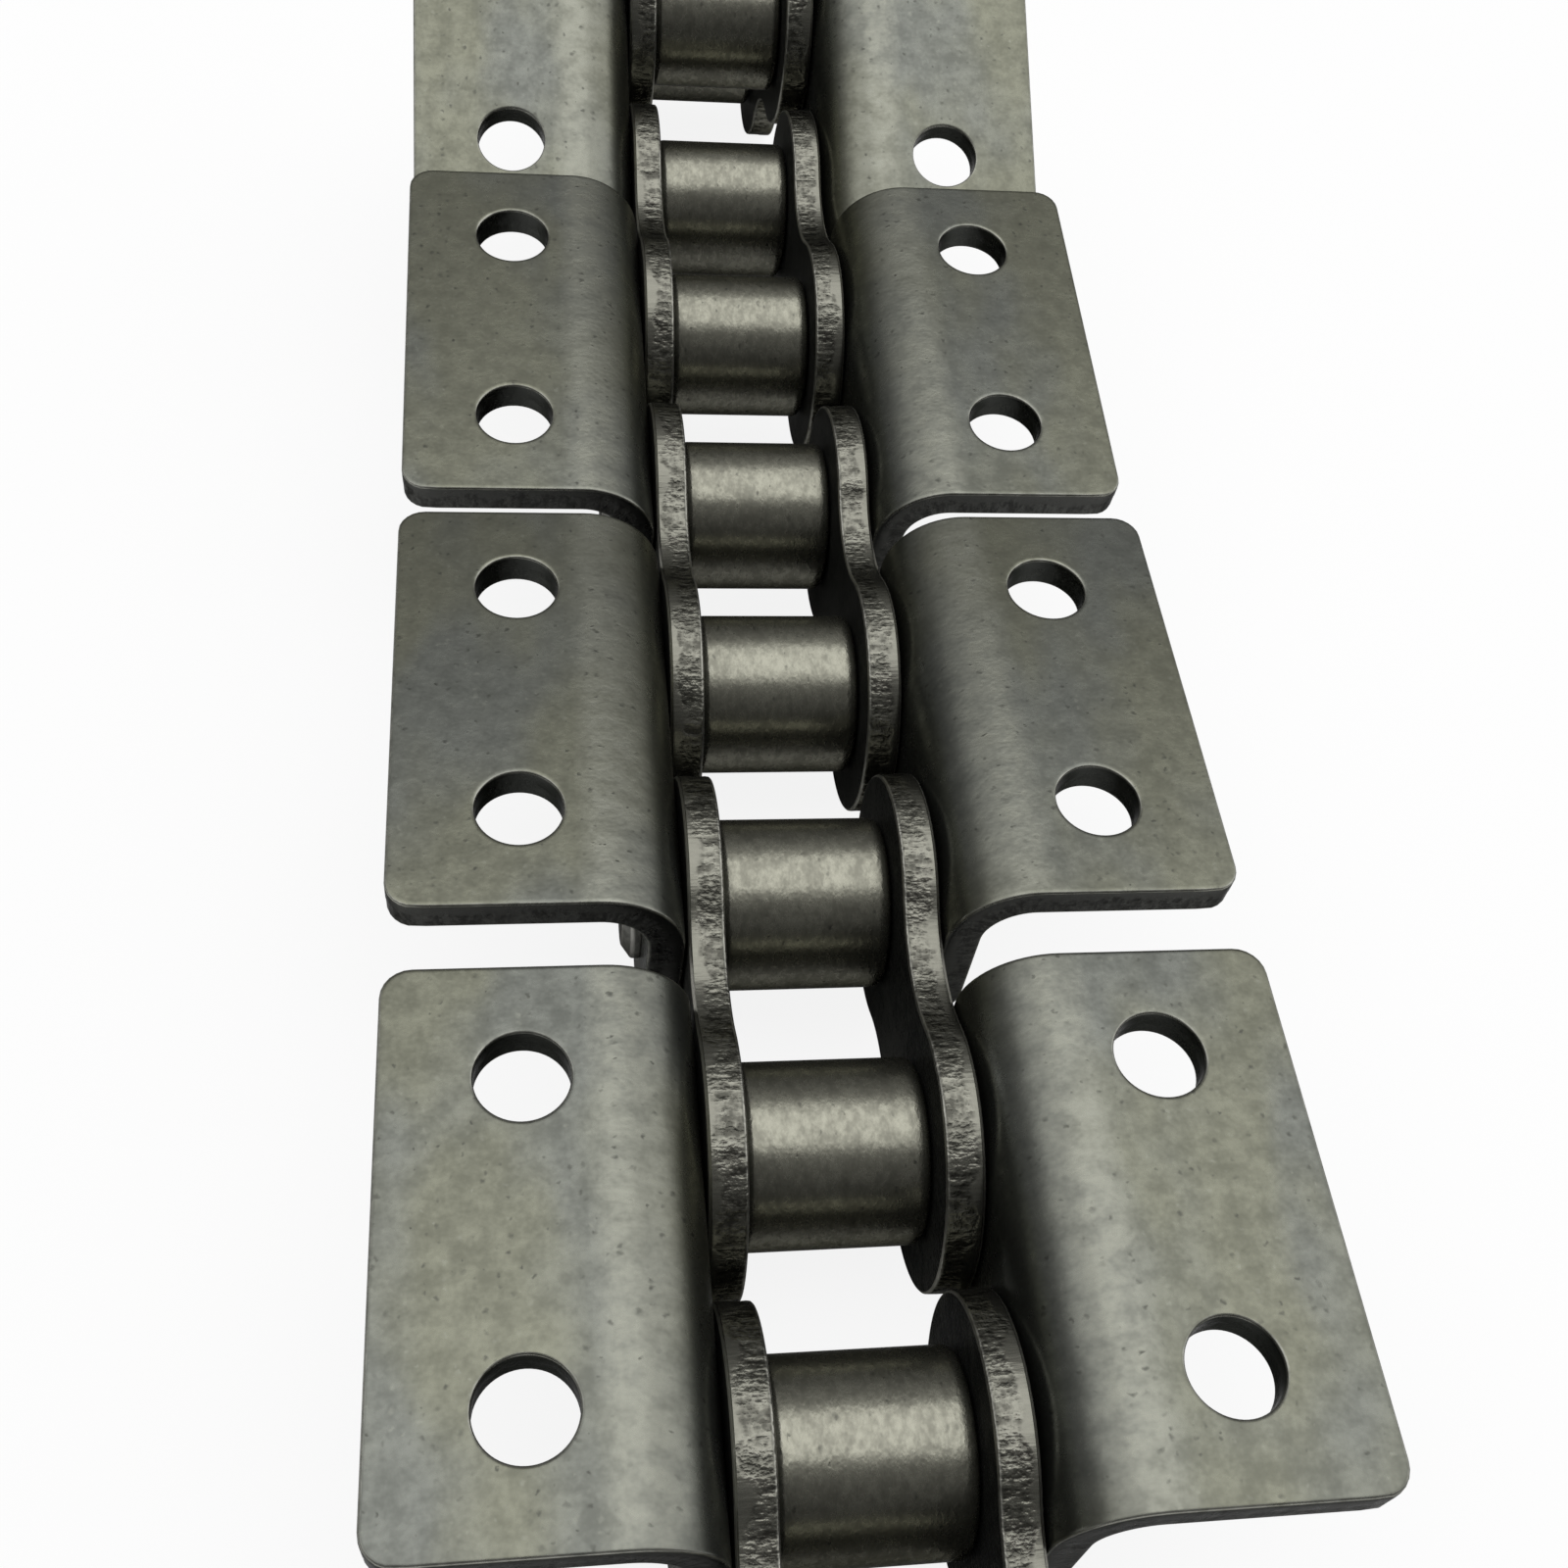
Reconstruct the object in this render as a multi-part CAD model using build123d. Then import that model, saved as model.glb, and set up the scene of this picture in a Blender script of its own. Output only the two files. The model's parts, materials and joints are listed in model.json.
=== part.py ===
from build123d import *
import math
import os

# A strand of one-inch-pitch roller chain for conveying, in millimetres. Inner links of two plates,
# two bushes and two rollers alternate with outer links of two pins and two bent attachment plates,
# whose drilled flanges stand out to both sides above the rollers. X runs across the chain, Y along
# it from the near end to the far end, Z up. The origin is on the floor, below the strand's middle.

# Strand: it starts and ends with an inner link, so there is one more of those.
PITCH = 25.4
OUTER_LINKS = 4

# Rollers and bushes
ROLLER_DIAMETER = 15.88
ROLLER_EDGE = 0.5
INNER_WIDTH = 15.75
BUSH_WALL = 1.6
BUSH_PROUD = 0.1

# Pins, with the heads that riveting forms outside the attachment plates
PIN_DIAMETER = 7.94
PIN_HEAD_DIAMETER = 9.4
PIN_HEAD_HEIGHT = 1.7
PIN_HEAD_EDGE = 0.8

# Link plates: each is waisted between two lobes round its holes.
PLATE_THICKNESS = 3.25
INNER_PLATE_HEIGHT = 24.13
INNER_WAIST_CUT = 3.7
OUTER_WAIST_CUT = 2.9

# Attachment flanges: the gap is the one between the flanges of two outer links in a straight
# strand, and the reach is how far a flange goes on beyond the middle of its bolt holes.
PLATFORM_HEIGHT = 15.88
FLANGE_GAP = 5.8
FLANGE_REACH = 11.0
BEND_INNER_RADIUS = 4.25
FLANGE_CORNER_RADIUS = 2.5
BOLT_HOLE_DIAMETER = 7.5

# Running clearances, those round a pin or a bush on the radius
PIN_CLEARANCE = 0.05
ROLLER_CLEARANCE = 0.08
ROLLER_SIDE_CLEARANCE = 0.15
LINK_SIDE_CLEARANCE = 0.25

# Rest pose: the strand lies straight but for a hump at its far end. The links that lead up to the
# hump slope by these degrees, and the next attachments tilt until they all but touch the last ones.
LEADING_OUTER_SLOPE = 6.0
LEADING_INNER_SLOPE = 1.0
HUMP_CLEARANCE = 0.4

# Sizes that follow from the ones above
HALF_PITCH = PITCH / 2
BUSH_BORE_RADIUS = PIN_DIAMETER / 2 + PIN_CLEARANCE
BUSH_RADIUS = BUSH_BORE_RADIUS + BUSH_WALL
ROLLER_BORE_RADIUS = BUSH_RADIUS + ROLLER_CLEARANCE
ROLLER_LENGTH = INNER_WIDTH - 2 * ROLLER_SIDE_CLEARANCE
INNER_PLATE_FACE = INNER_WIDTH / 2
INNER_PLATE_BACK = INNER_PLATE_FACE + PLATE_THICKNESS
OUTER_PLATE_FACE = INNER_PLATE_BACK + LINK_SIDE_CLEARANCE
OUTER_PLATE_BACK = OUTER_PLATE_FACE + PLATE_THICKNESS
ATTACHMENT_LENGTH = 2 * PITCH - FLANGE_GAP
BOLT_SPACING_ALONG = PITCH
BOLT_SPACING_ACROSS = 2 * PITCH
FLANGE_TIP = BOLT_SPACING_ACROSS / 2 + FLANGE_REACH
OUTER_LOBE_RADIUS = (ATTACHMENT_LENGTH - PITCH) / 2
INNER_LOBE_RADIUS = INNER_PLATE_HEIGHT / 2
BEND_OUTER_RADIUS = BEND_INNER_RADIUS + PLATE_THICKNESS
FLANGE_UNDERSIDE = PLATFORM_HEIGHT - PLATE_THICKNESS
BEND_START = PLATFORM_HEIGHT - BEND_OUTER_RADIUS
BEND_CENTRE = OUTER_PLATE_FACE + BEND_OUTER_RADIUS


def hump_slope():
    """The slope at which an attachment's near top corner reaches the far edge of the one before.

    The corner turns about a pin at this reach, from a direction this lean off the upright.
    """
    reach = math.hypot(OUTER_LOBE_RADIUS, PLATFORM_HEIGHT)
    lean = math.atan2(OUTER_LOBE_RADIUS, PLATFORM_HEIGHT)
    pin_distance = PITCH * math.cos(math.radians(LEADING_OUTER_SLOPE - LEADING_INNER_SLOPE))
    room = pin_distance - OUTER_LOBE_RADIUS - HUMP_CLEARANCE
    return LEADING_OUTER_SLOPE + math.degrees(math.asin(room / reach) - lean)


def rest_slopes():
    """Every link's slope, from the near end. The last one runs down until its end is on the floor."""
    rising = [LEADING_OUTER_SLOPE, LEADING_INNER_SLOPE, hump_slope()]
    rise = sum(math.sin(math.radians(slope)) for slope in rising)
    level = [0.0] * (2 * OUTER_LINKS - len(rising))
    return level + rising + [-math.degrees(math.asin(rise))]


def rest_links():
    """Every link's near pin as y and z, with the link's slope, from the near end."""
    y = 0.0
    z = INNER_LOBE_RADIUS
    links = []
    for slope in rest_slopes():
        links.append((y, z, slope))
        y += PITCH * math.cos(math.radians(slope))
        z += PITCH * math.sin(math.radians(slope))
    middle = y / 2
    return [(near_y - middle, near_z, slope) for near_y, near_z, slope in links]


def waist_contact(lobe_radius, waist):
    """Where the arc through the waist meets a lobe, as y and z from the middle of the plate."""
    arc_radius = (HALF_PITCH**2 + waist**2 - lobe_radius**2) / (2 * (lobe_radius - waist))
    share = lobe_radius / (lobe_radius + arc_radius)
    return HALF_PITCH * (1 - share), (waist + arc_radius) * share


def plate(outline, hole_radius, face):
    """An outline in Y and Z with a hole at each end, made a plate from X = face outwards."""
    holes = [Pos(y, 0) * Circle(hole_radius) for y in (-HALF_PITCH, HALF_PITCH)]
    return extrude(Plane.YZ.offset(face) * (outline - holes), PLATE_THICKNESS)


def inner_plate():
    """The right-hand plate of an inner link. Its holes are pressed on the bushes."""
    waist = INNER_LOBE_RADIUS - INNER_WAIST_CUT
    end = HALF_PITCH + INNER_LOBE_RADIUS
    y, z = waist_contact(INNER_LOBE_RADIUS, waist)
    outline = make_face([
        ThreePointArc((-y, z), (0, waist), (y, z)),
        ThreePointArc((y, z), (end, 0), (y, -z)),
        ThreePointArc((y, -z), (0, -waist), (-y, -z)),
        ThreePointArc((-y, -z), (-end, 0), (-y, z)),
    ])
    return plate(outline, BUSH_RADIUS, INNER_PLATE_FACE)


def attachment_wall():
    """The upright of the right-hand attachment, from two lobes round the pins up to the bend."""
    waist = OUTER_LOBE_RADIUS - OUTER_WAIST_CUT
    end = ATTACHMENT_LENGTH / 2
    y, z = waist_contact(OUTER_LOBE_RADIUS, waist)
    outline = make_face([
        Line((-end, BEND_START), (-end, 0)),
        ThreePointArc((-end, 0), (-HALF_PITCH, -OUTER_LOBE_RADIUS), (-y, -z)),
        ThreePointArc((-y, -z), (0, -waist), (y, -z)),
        ThreePointArc((y, -z), (HALF_PITCH, -OUTER_LOBE_RADIUS), (end, 0)),
        Line((end, 0), (end, BEND_START)),
        Line((end, BEND_START), (-end, BEND_START)),
    ])
    return plate(outline, PIN_DIAMETER / 2, OUTER_PLATE_FACE)


def attachment_flange():
    """The bend and the flange of the right-hand attachment, with its corners and bolt holes."""
    slant = math.sqrt(0.5)
    section = make_face([
        ThreePointArc(
            (OUTER_PLATE_FACE, BEND_START),
            (BEND_CENTRE - BEND_OUTER_RADIUS * slant, BEND_START + BEND_OUTER_RADIUS * slant),
            (BEND_CENTRE, PLATFORM_HEIGHT),
        ),
        Line((BEND_CENTRE, PLATFORM_HEIGHT), (FLANGE_TIP, PLATFORM_HEIGHT)),
        Line((FLANGE_TIP, PLATFORM_HEIGHT), (FLANGE_TIP, FLANGE_UNDERSIDE)),
        Line((FLANGE_TIP, FLANGE_UNDERSIDE), (BEND_CENTRE, FLANGE_UNDERSIDE)),
        ThreePointArc(
            (BEND_CENTRE, FLANGE_UNDERSIDE),
            (BEND_CENTRE - BEND_INNER_RADIUS * slant, BEND_START + BEND_INNER_RADIUS * slant),
            (OUTER_PLATE_BACK, BEND_START),
        ),
        Line((OUTER_PLATE_BACK, BEND_START), (OUTER_PLATE_FACE, BEND_START)),
    ])
    flange = extrude(Plane.XZ * section, ATTACHMENT_LENGTH / 2, both=True)
    tip_corners = flange.edges().filter_by(Axis.Z).group_by(Axis.X)[-1]
    flange = fillet(tip_corners, FLANGE_CORNER_RADIUS)
    drill = Cylinder(BOLT_HOLE_DIAMETER / 2, 2 * PLATE_THICKNESS)
    for y in (-BOLT_SPACING_ALONG / 2, BOLT_SPACING_ALONG / 2):
        flange -= Pos(BOLT_SPACING_ACROSS / 2, y, FLANGE_UNDERSIDE + PLATE_THICKNESS / 2) * drill
    return flange


def tube(outer_radius, bore_radius, length):
    """A tube across the chain."""
    return extrude(Plane.YZ * (Circle(outer_radius) - Circle(bore_radius)), length / 2, both=True)


def bush():
    """The tube between an inner link's plates, standing a little proud of both."""
    return tube(BUSH_RADIUS, BUSH_BORE_RADIUS, 2 * (INNER_PLATE_BACK + BUSH_PROUD))


def roller():
    """The roller that turns on a bush, with its outer edges broken."""
    barrel = tube(ROLLER_DIAMETER / 2, ROLLER_BORE_RADIUS, ROLLER_LENGTH)
    rims = barrel.edges().filter_by(GeomType.CIRCLE).group_by(SortBy.RADIUS)[-1]
    return chamfer(rims, ROLLER_EDGE)


def pin():
    """A pin pressed through both attachment plates, its ends riveted over outside them."""
    shank = PIN_DIAMETER / 2
    head = PIN_HEAD_DIAMETER / 2
    tip = OUTER_PLATE_BACK + PIN_HEAD_HEIGHT
    half = make_face(Polyline(
        (0, 0),
        (0, shank),
        (OUTER_PLATE_BACK, shank),
        (OUTER_PLATE_BACK, head),
        (tip - PIN_HEAD_EDGE, head),
        (tip, head - PIN_HEAD_EDGE),
        (tip, 0),
        close=True,
    ))
    return revolve(half + mirror(half, Plane.YZ), Axis.X)


def write(name, shape, link):
    """Moves a shape from its link's own middle to the link's place at rest and writes it."""
    near_y, near_z, slope = link
    place = Pos(0, near_y, near_z) * Rot(slope, 0, 0) * Pos(0, HALF_PITCH, 0)
    export_step(place * shape, os.path.join("parts", name + ".step"))


def write_both_sides(name, right, link):
    write(name.format("right"), right, link)
    write(name.format("left"), mirror(right, Plane.YZ), link)


def write_both_ends(name, shape, link):
    write(name.format("near"), Pos(0, -HALF_PITCH, 0) * shape, link)
    write(name.format("far"), Pos(0, HALF_PITCH, 0) * shape, link)


os.makedirs("parts", exist_ok=True)
links = rest_links()
for number, link in enumerate(links[0::2], start=1):
    inner_link = f"inner_link_{number}"
    write_both_sides(inner_link + "_{}_plate", inner_plate(), link)
    write_both_ends(inner_link + "_{}_bush", bush(), link)
    write_both_ends(inner_link + "_{}_roller", roller(), link)
for number, link in enumerate(links[1::2], start=1):
    outer_link = f"outer_link_{number}"
    write_both_sides(outer_link + "_{}_attachment", attachment_wall() + attachment_flange(), link)
    write_both_ends(outer_link + "_{}_pin", pin(), link)
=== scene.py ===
import json
import math

import bmesh
import bpy
from mathutils import Matrix, Vector, noise


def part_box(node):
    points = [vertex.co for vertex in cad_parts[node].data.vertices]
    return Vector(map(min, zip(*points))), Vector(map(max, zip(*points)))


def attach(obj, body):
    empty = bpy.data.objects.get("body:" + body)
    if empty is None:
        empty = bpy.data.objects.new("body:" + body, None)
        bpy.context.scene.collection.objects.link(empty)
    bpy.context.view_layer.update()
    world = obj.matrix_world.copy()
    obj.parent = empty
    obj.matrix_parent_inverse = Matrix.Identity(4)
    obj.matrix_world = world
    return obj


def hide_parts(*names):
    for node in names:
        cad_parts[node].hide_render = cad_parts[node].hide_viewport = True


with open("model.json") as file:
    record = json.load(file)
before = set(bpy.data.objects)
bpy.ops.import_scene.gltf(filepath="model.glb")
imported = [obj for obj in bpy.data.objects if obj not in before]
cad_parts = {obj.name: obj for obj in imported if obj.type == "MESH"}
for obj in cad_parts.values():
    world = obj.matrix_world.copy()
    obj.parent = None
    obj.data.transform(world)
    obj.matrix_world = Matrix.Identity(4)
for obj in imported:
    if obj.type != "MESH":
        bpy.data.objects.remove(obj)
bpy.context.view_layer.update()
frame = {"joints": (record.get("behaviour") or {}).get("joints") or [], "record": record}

# ---- Where the links lie
# Five inner links and four outer links take turns. Each reaches from one pin to the next, so
# the pins and the open bushes at the chain's two ends give the place of every link.
mounts = {mount["name"]: mount for mount in frame["record"]["mounts"]}
pivots = [Vector(mounts["near_end_bush_bore"]["pos_m"])]
pivots += [Vector(joint["pos_m"]) for joint in frame["joints"] if joint["name"].endswith("_hinge")]
pivots += [Vector(mounts["far_end_bush_bore"]["pos_m"])]
pivots.sort(key=lambda pivot: pivot.y)
half_pitch = (pivots[1] - pivots[0]).length / 2

link_places = []
for near, far in zip(pivots, pivots[1:]):
    slope = math.atan2(far.z - near.z, far.y - near.y)
    link_places.append(Matrix.Translation((near + far) / 2) @ Matrix.Rotation(slope, 4, "X"))
inner_links = [(f"inner_link_{i + 1}", place) for i, place in enumerate(link_places[0::2])]
outer_links = [(f"outer_link_{i + 1}", place) for i, place in enumerate(link_places[1::2])]
near_end = Matrix.Translation((0, -half_pitch, 0))
far_end = Matrix.Translation((0, half_pitch, 0))

# ---- Bushes
# Short tubes of case-hardened steel, turned and ground. Both ends are pressed through the inner
# plates, and a roller turns on the middle.
MM_PER_M = 1000
bush_low, bush_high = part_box("inner_link_1_near_bush")
BUSH_RADIUS = (bush_high.z - bush_low.z) / 2
BUSH_HALF_LENGTH = bush_high.x
BUSH_BORE_RADIUS = mounts["near_end_bush_bore"]["dims"]["r_mm"] / MM_PER_M
BUSH_EDGE = 0.0003
BUSH_FACETS = 72
BUSH_DARK = (0.12, 0.12, 0.112, 1)
BUSH_LIGHT = (0.20, 0.20, 0.185, 1)
BUSH_POLISHED = (0.42, 0.41, 0.385, 1)
# The share of light left where a steel is seen edge on, its roughness where it is dark and light,
# and the depth of its skin.
BUSH_EDGE_ON = 0.4
BUSH_ROUGHNESS = (0.42, 0.33)
BUSH_RELIEF = 0.00001
ROUNDING_STEPS = 4
ON_AXIS = 1e-7


def rounded(section, closed):
    """Rounds the corners (x, radius, rounding) of a turned piece's section.

    Gives points (x, radius, rim), where rim is 1 on a rounding and 0 on the plain surfaces.
    """
    points = []
    for i, (x, radius, rounding) in enumerate(section):
        corner = Vector((x, radius))
        if not rounding or not closed and i in (0, len(section) - 1):
            points.append((x, radius, 0.0))
            continue
        before = (Vector(section[i - 1][:2]) - corner).normalized()
        after = (Vector(section[(i + 1) % len(section)][:2]) - corner).normalized()
        half_angle = before.angle(after) / 2
        reach = rounding / math.tan(half_angle)
        centre = corner + (before + after).normalized() * rounding / math.sin(half_angle)
        first = corner + before * reach - centre
        last = corner + after * reach - centre
        turn = first.angle_signed(last)
        points.append((*(corner + before * (reach + rounding / 2)), 0.0))
        for step in range(ROUNDING_STEPS + 1):
            spoke = first.copy()
            spoke.rotate(Matrix.Rotation(-turn * step / ROUNDING_STEPS, 2))
            points.append((*(centre + spoke), 1.0))
        points.append((*(corner + after * (reach + rounding / 2)), 0.0))
    return points


def turned(section, closed, facets):
    """A piece turned about the X axis from the section's points (x, radius, rim)."""
    shape = bmesh.new()
    rim = shape.verts.layers.float.new("rim")
    rings = []
    for x, radius, worn in section:
        angles = [2 * math.pi * k / facets for k in range(facets)] if radius > ON_AXIS else [0]
        ring = [shape.verts.new((x, radius * math.cos(a), radius * math.sin(a))) for a in angles]
        for vert in ring:
            vert[rim] = worn
        rings.append(ring)
    following = rings[1:] + rings[:1] if closed else rings[1:]
    for ring, other in zip(rings, following):
        for k in range(facets):
            after = k + 1
            corners = [ring[k % len(ring)], ring[after % len(ring)]]
            corners += [other[after % len(other)], other[k % len(other)]]
            shape.faces.new(list(dict.fromkeys(corners)))
    bmesh.ops.recalc_face_normals(shape, faces=shape.faces)
    return shape


def put_in_place(node, shape, place, steel, body):
    """Sets a shape made in its link's axes at its place, in its steel, for the node that it shows."""
    shape = shape.copy()
    shape.transform(place)
    if place.determinant() < 0:
        bmesh.ops.reverse_faces(shape, faces=shape.faces)
    mesh = bpy.data.meshes.new("steel_" + node)
    shape.to_mesh(mesh)
    shape.free()
    mesh.shade_smooth()
    mesh.materials.append(steel)
    piece = bpy.data.objects.new("steel_" + node, mesh)
    bpy.context.scene.collection.objects.link(piece)
    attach(piece, body)
    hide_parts(node)


def add_node(tree, kind, sockets=(), **settings):
    """Adds a node with its settings. Sockets are values or other nodes' outputs, by name or number."""
    node = tree.nodes.new(kind)
    for setting, value in settings.items():
        setattr(node, setting, value)
    for name, value in dict(sockets).items():
        if isinstance(value, bpy.types.NodeSocket):
            tree.links.new(value, node.inputs[name])
        else:
            node.inputs[name].default_value = value
    return node


def maths(tree, operation, first, second=0.0):
    return add_node(tree, "ShaderNodeMath", {0: first, 1: second}, operation=operation).outputs[0]


def times(tree, first, second):
    return maths(tree, "MULTIPLY", first, second)


def between(tree, share, first, second):
    """A value that is first where share is 0 and second where it is 1."""
    return add_node(tree, "ShaderNodeMapRange", {0: share, 3: first, 4: second}).outputs[0]


def stepped(tree, value, low, high):
    """0 below low and 1 above high, easing over between them."""
    sockets = {0: value, 1: low, 2: high}
    return add_node(tree, "ShaderNodeMapRange", sockets, interpolation_type="SMOOTHSTEP").outputs[0]


def tinted(tree, share, first, second):
    """A colour that is first where share is 0 and second where it is 1."""
    return add_node(tree, "ShaderNodeMix", {0: share, 6: first, 7: second}, data_type="RGBA").outputs[2]


def stretched(tree, place, by):
    return add_node(tree, "ShaderNodeVectorMath", {0: place, 1: by}, operation="MULTIPLY").outputs[0]


def cloud(tree, place, size, detail=2.0, roughness=0.5):
    """Noise over a place in millimetres, in blots of about the given size."""
    per_mm = maths(tree, "DIVIDE", 1.0, size) if isinstance(size, bpy.types.NodeSocket) else 1 / size
    sockets = {"Vector": place, "Scale": per_mm, "Detail": detail, "Roughness": roughness}
    return add_node(tree, "ShaderNodeTexNoise", sockets).outputs["Fac"]


def painted(tree, layer):
    """A value that the mesh holds for each of its points."""
    return add_node(tree, "ShaderNodeAttribute", attribute_name=layer).outputs["Fac"]


def in_mm(tree, place):
    return stretched(tree, place, (MM_PER_M, MM_PER_M, MM_PER_M))


def piece_place(tree):
    """A place on the piece, in millimetres."""
    return in_mm(tree, add_node(tree, "ShaderNodeTexCoord").outputs["Object"])


def new_group(name, inputs, outputs):
    """An empty node group with its sockets. Gives the group, its input sockets and its output node."""
    group = bpy.data.node_groups.new(name, "ShaderNodeTree")
    for socket, kind in inputs.items():
        group.interface.new_socket(name=socket, in_out="INPUT", socket_type="NodeSocket" + kind)
    for socket, kind in outputs.items():
        group.interface.new_socket(name=socket, in_out="OUTPUT", socket_type="NodeSocket" + kind)
    given = group.nodes.new("NodeGroupInput").outputs
    return group, given, group.nodes.new("NodeGroupOutput")


def give_out(group, result, **values):
    """Joins what a group has worked out to its output sockets."""
    for name, value in values.items():
        group.links.new(value, result.inputs[name])


def place_group(tree, group, **sockets):
    return add_node(tree, "ShaderNodeGroup", sockets, node_tree=group).outputs


# A mottled tone with small dark pits and light chips, as heat treatment and oil leave it on steel.
# Sizes are in millimetres. A contrast is the two levels between which a cloud goes from 0 to 1.
GRAIN_SHARE = 0.3
TONE_CONTRAST = (0.34, 0.66)
WARMTH_ELSEWHERE = (311, 47, 129)
WARMTH_STRETCH = (0.7, 0.35, 0.7)
WARMTH_CONTRAST = (0.36, 0.62)
SPOTS_PER_MM = 1.15
SPOT_BENDS_PER_MM = 1.6
SPOT_BEND = (0.7, 0.7, 0.7)
SPOT_MIDDLE = 0.05
SPOT_EDGES = (0.18, 0.42)
GATHERING_SIZE = 7.0
GATHERING_CONTRAST = (0.42, 0.62)
# The share of spots that are no pits, where few and where many gather, and of those that are chips.
NOT_PITS = (0.6, 0.15)
CHIPS = 0.5
PIT_DEPTH = 0.25

oiled_skin, given, result = new_group(
    "oiled_skin",
    {"Place": "Vector", "Patch": "Float", "Mottle": "Float", "Grain": "Float", "Patchiness": "Float"},
    {"Tone": "Float", "Warmth": "Float", "Pit": "Float", "Chip": "Float", "Height": "Float"},
)
tree = oiled_skin
patches = cloud(tree, given["Place"], given["Patch"], detail=3.0)
mottle = cloud(tree, given["Place"], given["Mottle"])
grain = cloud(tree, given["Place"], given["Grain"], detail=1.0)
fine = between(tree, GRAIN_SHARE, mottle, grain)
tone = stepped(tree, between(tree, given["Patchiness"], fine, patches), *TONE_CONTRAST)
sockets = {0: given["Place"], 1: WARMTH_ELSEWHERE}
elsewhere = add_node(tree, "ShaderNodeVectorMath", sockets, operation="ADD").outputs[0]
warmth = cloud(tree, stretched(tree, elsewhere, WARMTH_STRETCH), given["Patch"])
warmth = stepped(tree, warmth, *WARMTH_CONTRAST)
sockets = {"Vector": elsewhere, "Scale": SPOT_BENDS_PER_MM, "Detail": 2.0}
bends = add_node(tree, "ShaderNodeTexNoise", sockets).outputs["Color"]
sockets = {0: bends, 1: SPOT_BEND, 2: elsewhere}
spot_place = add_node(tree, "ShaderNodeVectorMath", sockets, operation="MULTIPLY_ADD").outputs[0]
cells = add_node(tree, "ShaderNodeTexVoronoi", {"Vector": spot_place, "Scale": SPOTS_PER_MM}).outputs
chances = add_node(tree, "ShaderNodeSeparateXYZ", {0: cells["Color"]}).outputs
spot_edge = between(tree, chances["Y"], *SPOT_EDGES)
spot = maths(tree, "SUBTRACT", 1.0, stepped(tree, cells["Distance"], SPOT_MIDDLE, spot_edge))
gathered = stepped(tree, cloud(tree, elsewhere, GATHERING_SIZE), *GATHERING_CONTRAST)
pit = times(tree, spot, stepped(tree, chances["X"], between(tree, gathered, *NOT_PITS), 1.0))
chip = times(tree, spot, stepped(tree, chances["X"], CHIPS, 0.0))
height = maths(tree, "SUBTRACT", fine, times(tree, pit, PIT_DEPTH))
give_out(tree, result, Tone=tone, Warmth=warmth, Pit=pit, Chip=chip, Height=height)

# Edges that knocks and handling have rubbed bright, here and there worn less.
WEAR_SIZE = 1.6
WEAR_EVERYWHERE = 0.25
WEAR_CONTRAST = (0.25, 0.8)

rubbed_rim, given, result = new_group(
    "rubbed_rim",
    {"Place": "Vector", "Rim": "Float", "Wear": "Float"},
    {"Bare": "Float"},
)
tree = rubbed_rim
uneven = cloud(tree, given["Place"], WEAR_SIZE, detail=3.0, roughness=0.6)
uneven = maths(tree, "ADD", uneven, WEAR_EVERYWHERE)
rub = times(tree, times(tree, given["Rim"], uneven), given["Wear"])
give_out(tree, result, Bare=stepped(tree, rub, *WEAR_CONTRAST))

METAL_SHARE = 0.95


def new_steel(name, edge_on):
    """A steel and its nodes. It is dimmed to a share, edge_on, where it is seen edge on."""
    steel = bpy.data.materials.new(name)
    steel.use_nodes = True
    surface = steel.node_tree.nodes["Principled BSDF"]
    surface.inputs["Metallic"].default_value = METAL_SHARE
    surface.inputs["Specular Tint"].default_value = (edge_on, edge_on, edge_on, 1)
    return steel, steel.node_tree


def finish_steel(tree, colour, roughness, height, relief):
    """Joins the worked-out colour, roughness and height, whose full relief is in metres."""
    surface = tree.nodes["Principled BSDF"]
    tree.links.new(colour, surface.inputs["Base Color"])
    tree.links.new(roughness, surface.inputs["Roughness"])
    raised = add_node(tree, "ShaderNodeBump", {"Strength": 1.0, "Distance": relief, "Height": height})
    tree.links.new(raised.outputs["Normal"], surface.inputs["Normal"])


bush_steel, tree = new_steel("bush_steel", BUSH_EDGE_ON)
place = piece_place(tree)
skin = place_group(tree, oiled_skin, Place=place, Patch=4.0, Mottle=0.9, Grain=0.25, Patchiness=0.3)
bare = place_group(tree, rubbed_rim, Place=place, Rim=painted(tree, "rim"), Wear=1.2)["Bare"]
colour = tinted(tree, skin["Tone"], BUSH_DARK, BUSH_LIGHT)
colour = tinted(tree, bare, colour, BUSH_POLISHED)
roughness = between(tree, skin["Tone"], *BUSH_ROUGHNESS)
finish_steel(tree, colour, roughness, skin["Height"], BUSH_RELIEF)

bush_section = [
    (-BUSH_HALF_LENGTH, BUSH_BORE_RADIUS, BUSH_EDGE),
    (-BUSH_HALF_LENGTH, BUSH_RADIUS, BUSH_EDGE),
    (BUSH_HALF_LENGTH, BUSH_RADIUS, BUSH_EDGE),
    (BUSH_HALF_LENGTH, BUSH_BORE_RADIUS, BUSH_EDGE),
]
bush = turned(rounded(bush_section, closed=True), closed=True, facets=BUSH_FACETS)
for link, place in inner_links:
    put_in_place(link + "_near_bush", bush, place @ near_end, bush_steel, link)
    put_in_place(link + "_far_bush", bush, place @ far_end, bush_steel, link)

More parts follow.
